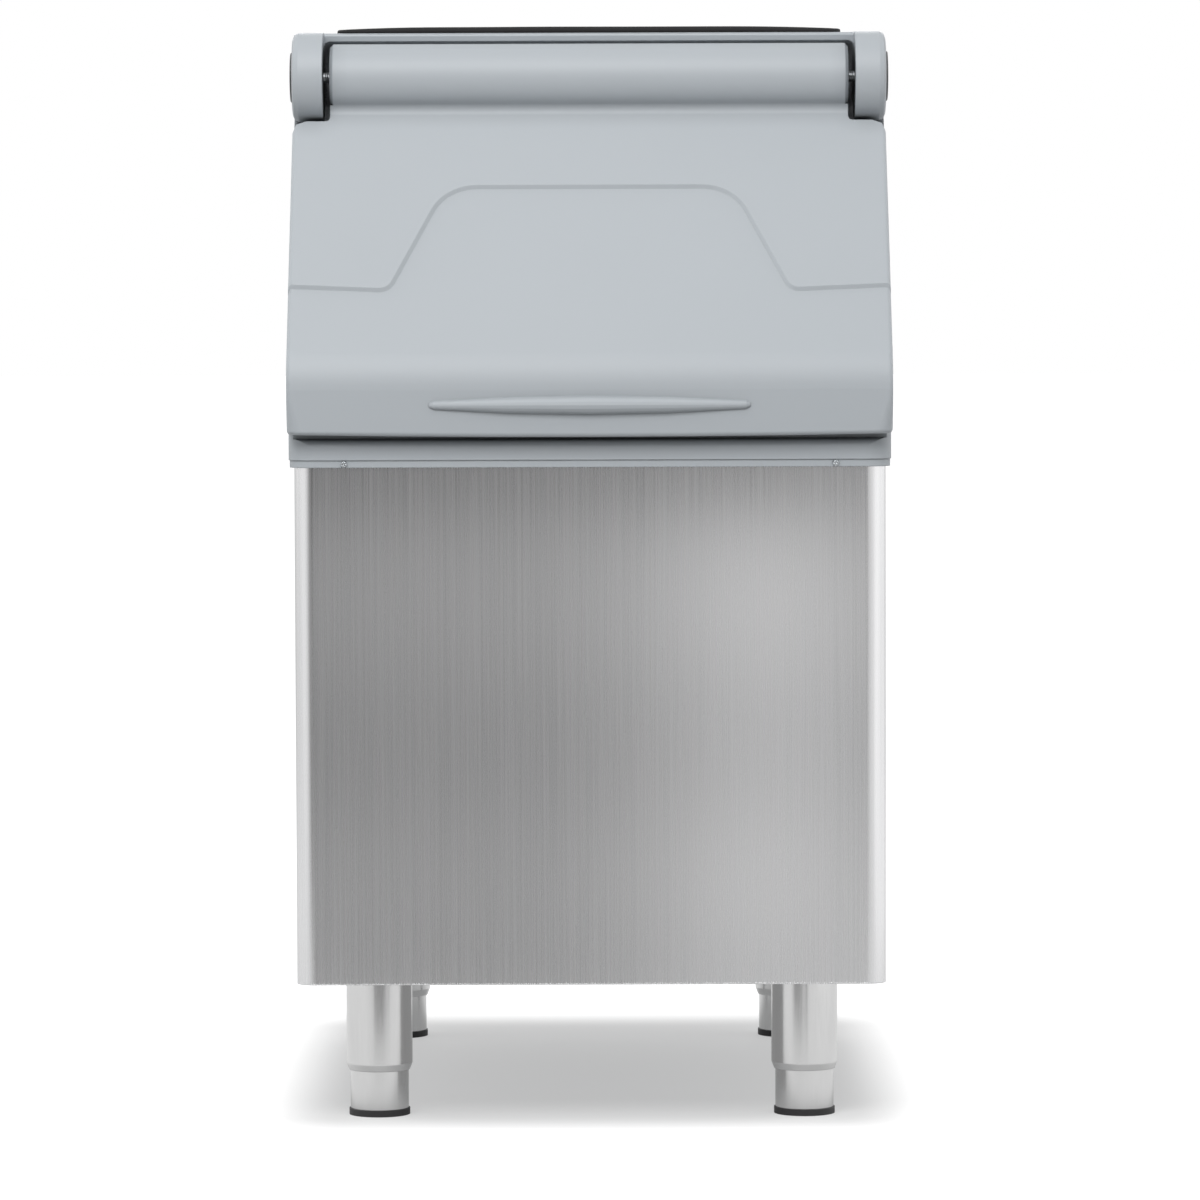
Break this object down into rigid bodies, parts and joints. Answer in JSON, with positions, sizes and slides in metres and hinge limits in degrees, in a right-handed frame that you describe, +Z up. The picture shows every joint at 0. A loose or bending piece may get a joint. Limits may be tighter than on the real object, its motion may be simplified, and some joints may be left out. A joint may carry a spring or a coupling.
{
  "type": "ice storage bin",
  "caption": "Insulated ice storage bin: steel cabinet on levelling legs, moulded hood with a sloping top-hinged door, and an open deck on which an ice machine stands.",
  "frame": {"origin": "on the floor, below the middle of the bin's box", "axes": "+Z up, the door faces -Y, +X to the right of someone facing the door"},
  "size_m": [0.5762, 0.835, 1.0465],
  "materials": {
    "stainless_sheet": "satin brushed",
    "stainless_tube": "polished",
    "galvanised_sheet": "galvanised",
    "hood_polyethylene": "fine moulded texture",
    "liner_polyethylene": "satin moulded",
    "rigid_foam": "closed-cell foam",
    "gasket_foam": "closed-cell foam",
    "pad_rubber": "moulded",
    "cap_plastic": "moulded",
    "drain_plastic": "moulded",
    "zinc_steel": "bright zinc"
  },
  "bodies": {
    "cabinet": {"cabinet_wrap": "stainless_sheet", "leg_sleeves": "stainless_tube", "rear_panel": "galvanised_sheet", "base_pan": "galvanised_sheet", "hood": "hood_polyethylene", "liner_tub": "liner_polyethylene", "insulation_foam": "rigid_foam", "top_gasket": "gasket_foam", "pivot_caps": "cap_plastic", "drain_bulkhead": "drain_plastic", "drain_locknut": "drain_plastic"},
    "door": {"door_shell": "hood_polyethylene", "door_core_foam": "rigid_foam", "door_inner_panel": "liner_polyethylene", "hinge_bolt_left": "zinc_steel", "hinge_bolt_right": "zinc_steel"},
    "foot_front_left": {"foot_tube_front_left": "stainless_tube", "foot_pad_front_left": "pad_rubber"},
    "foot_front_right": {"foot_tube_front_right": "stainless_tube", "foot_pad_front_right": "pad_rubber"},
    "foot_rear_left": {"foot_tube_rear_left": "stainless_tube", "foot_pad_rear_left": "pad_rubber"},
    "foot_rear_right": {"foot_tube_rear_right": "stainless_tube", "foot_pad_rear_right": "pad_rubber"}
  },
  "joints": [
    {"name": "door_hinge", "type": "hinge", "parent": "cabinet", "child": "door", "pos_m": [0, -0.2335, 0.997], "axis": [-1, 0, 0], "range_deg": [0, 158]},
    {"name": "foot_level_front_left", "type": "slide", "parent": "cabinet", "child": "foot_front_left", "axis": [0, 0, -1], "range_m": [-0.02, 0.01]},
    {"name": "foot_level_front_right", "type": "slide", "parent": "cabinet", "child": "foot_front_right", "axis": [0, 0, -1], "range_m": [-0.02, 0.01]},
    {"name": "foot_level_rear_left", "type": "slide", "parent": "cabinet", "child": "foot_rear_left", "axis": [0, 0, -1], "range_m": [-0.02, 0.01]},
    {"name": "foot_level_rear_right", "type": "slide", "parent": "cabinet", "child": "foot_rear_right", "axis": [0, 0, -1], "range_m": [-0.02, 0.01]}
  ]
}
